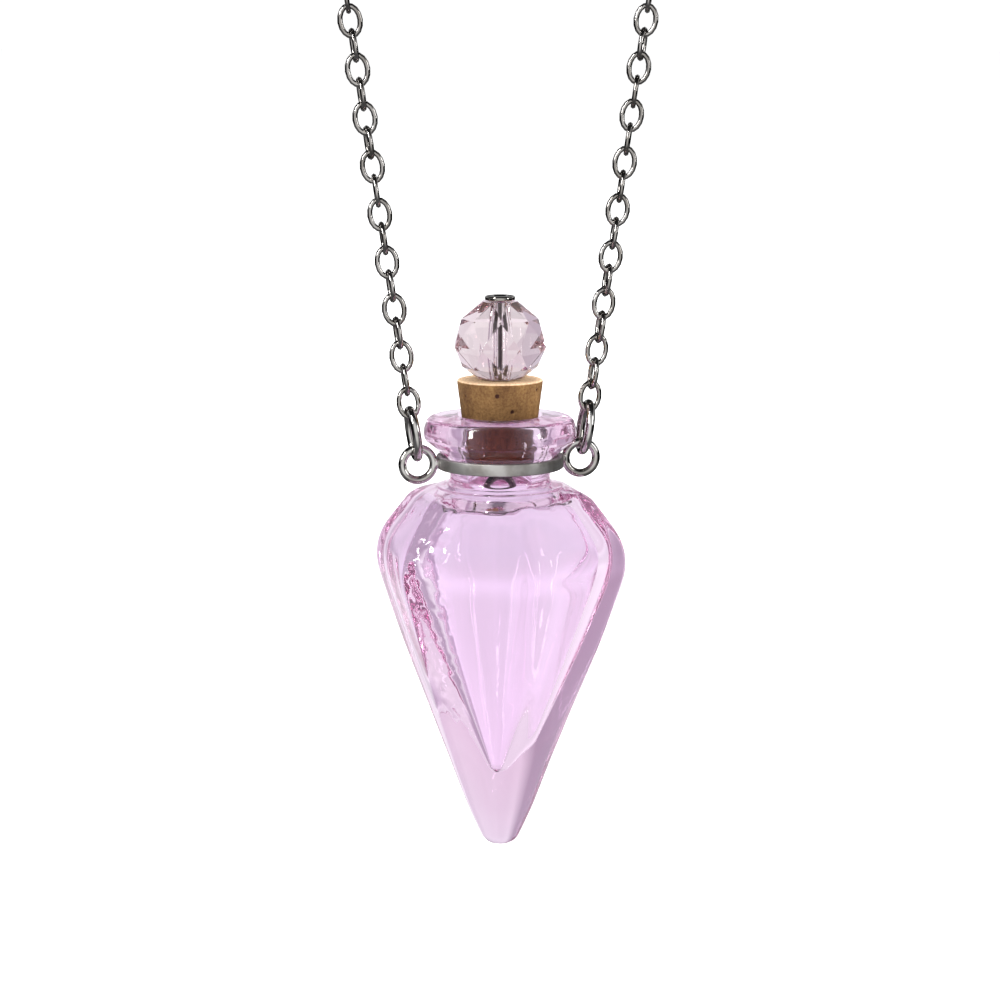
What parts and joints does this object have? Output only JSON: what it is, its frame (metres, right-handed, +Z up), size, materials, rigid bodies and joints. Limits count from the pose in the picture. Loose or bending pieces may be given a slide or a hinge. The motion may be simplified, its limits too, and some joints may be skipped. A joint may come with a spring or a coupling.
{
  "type": "bottle pendant necklace",
  "caption": "Small six-sided pink glass bottle with a cork and crystal bead stopper, hung by a neck collar from a fine cable chain.",
  "frame": {"origin": "the crown of the loop of chain, under the middle of the clasp, where the necklace hangs", "axes": "+Z up, the loop in the plane of X and Z, +X towards the viewer's right, the bottle's front corner on -Y"},
  "size_m": [0.072, 0.0234, 0.2577],
  "materials": {
    "pink_glass": "fire-polished transparent pink glass",
    "pale_crystal": "cut and polished pale pink crystal",
    "cork": "natural fine-grained cork with small pits",
    "steel_findings": "polished stainless steel",
    "steel_chain": "polished stainless steel wire"
  },
  "bodies": {
    "chain": {"chain_left": "steel_chain", "chain_right": "steel_chain", "clasp": "steel_findings", "oval_ring_left": "steel_findings", "oval_ring_right": "steel_findings"},
    "collar": {"neck_collar": "steel_findings"},
    "bottle": {"bottle": "pink_glass"},
    "stopper": {"cork_stopper": "cork", "crystal_bead": "pale_crystal", "head_pin": "steel_findings"}
  },
  "joints": [
    {"name": "pendant_swing", "type": "hinge", "parent": "chain", "child": "collar", "pos_m": [0, 0, -0.21776], "axis": [1, 0, 0], "range_deg": [-60, 60]},
    {"name": "bottle_turn", "type": "hinge", "parent": "collar", "child": "bottle", "pos_m": [0, 0, -0.21918], "axis": [0, 0, 1], "continuous": true},
    {"name": "stopper_lift", "type": "slide", "parent": "bottle", "child": "stopper", "axis": [0, 0, 1], "range_m": [0, 0.02]}
  ]
}
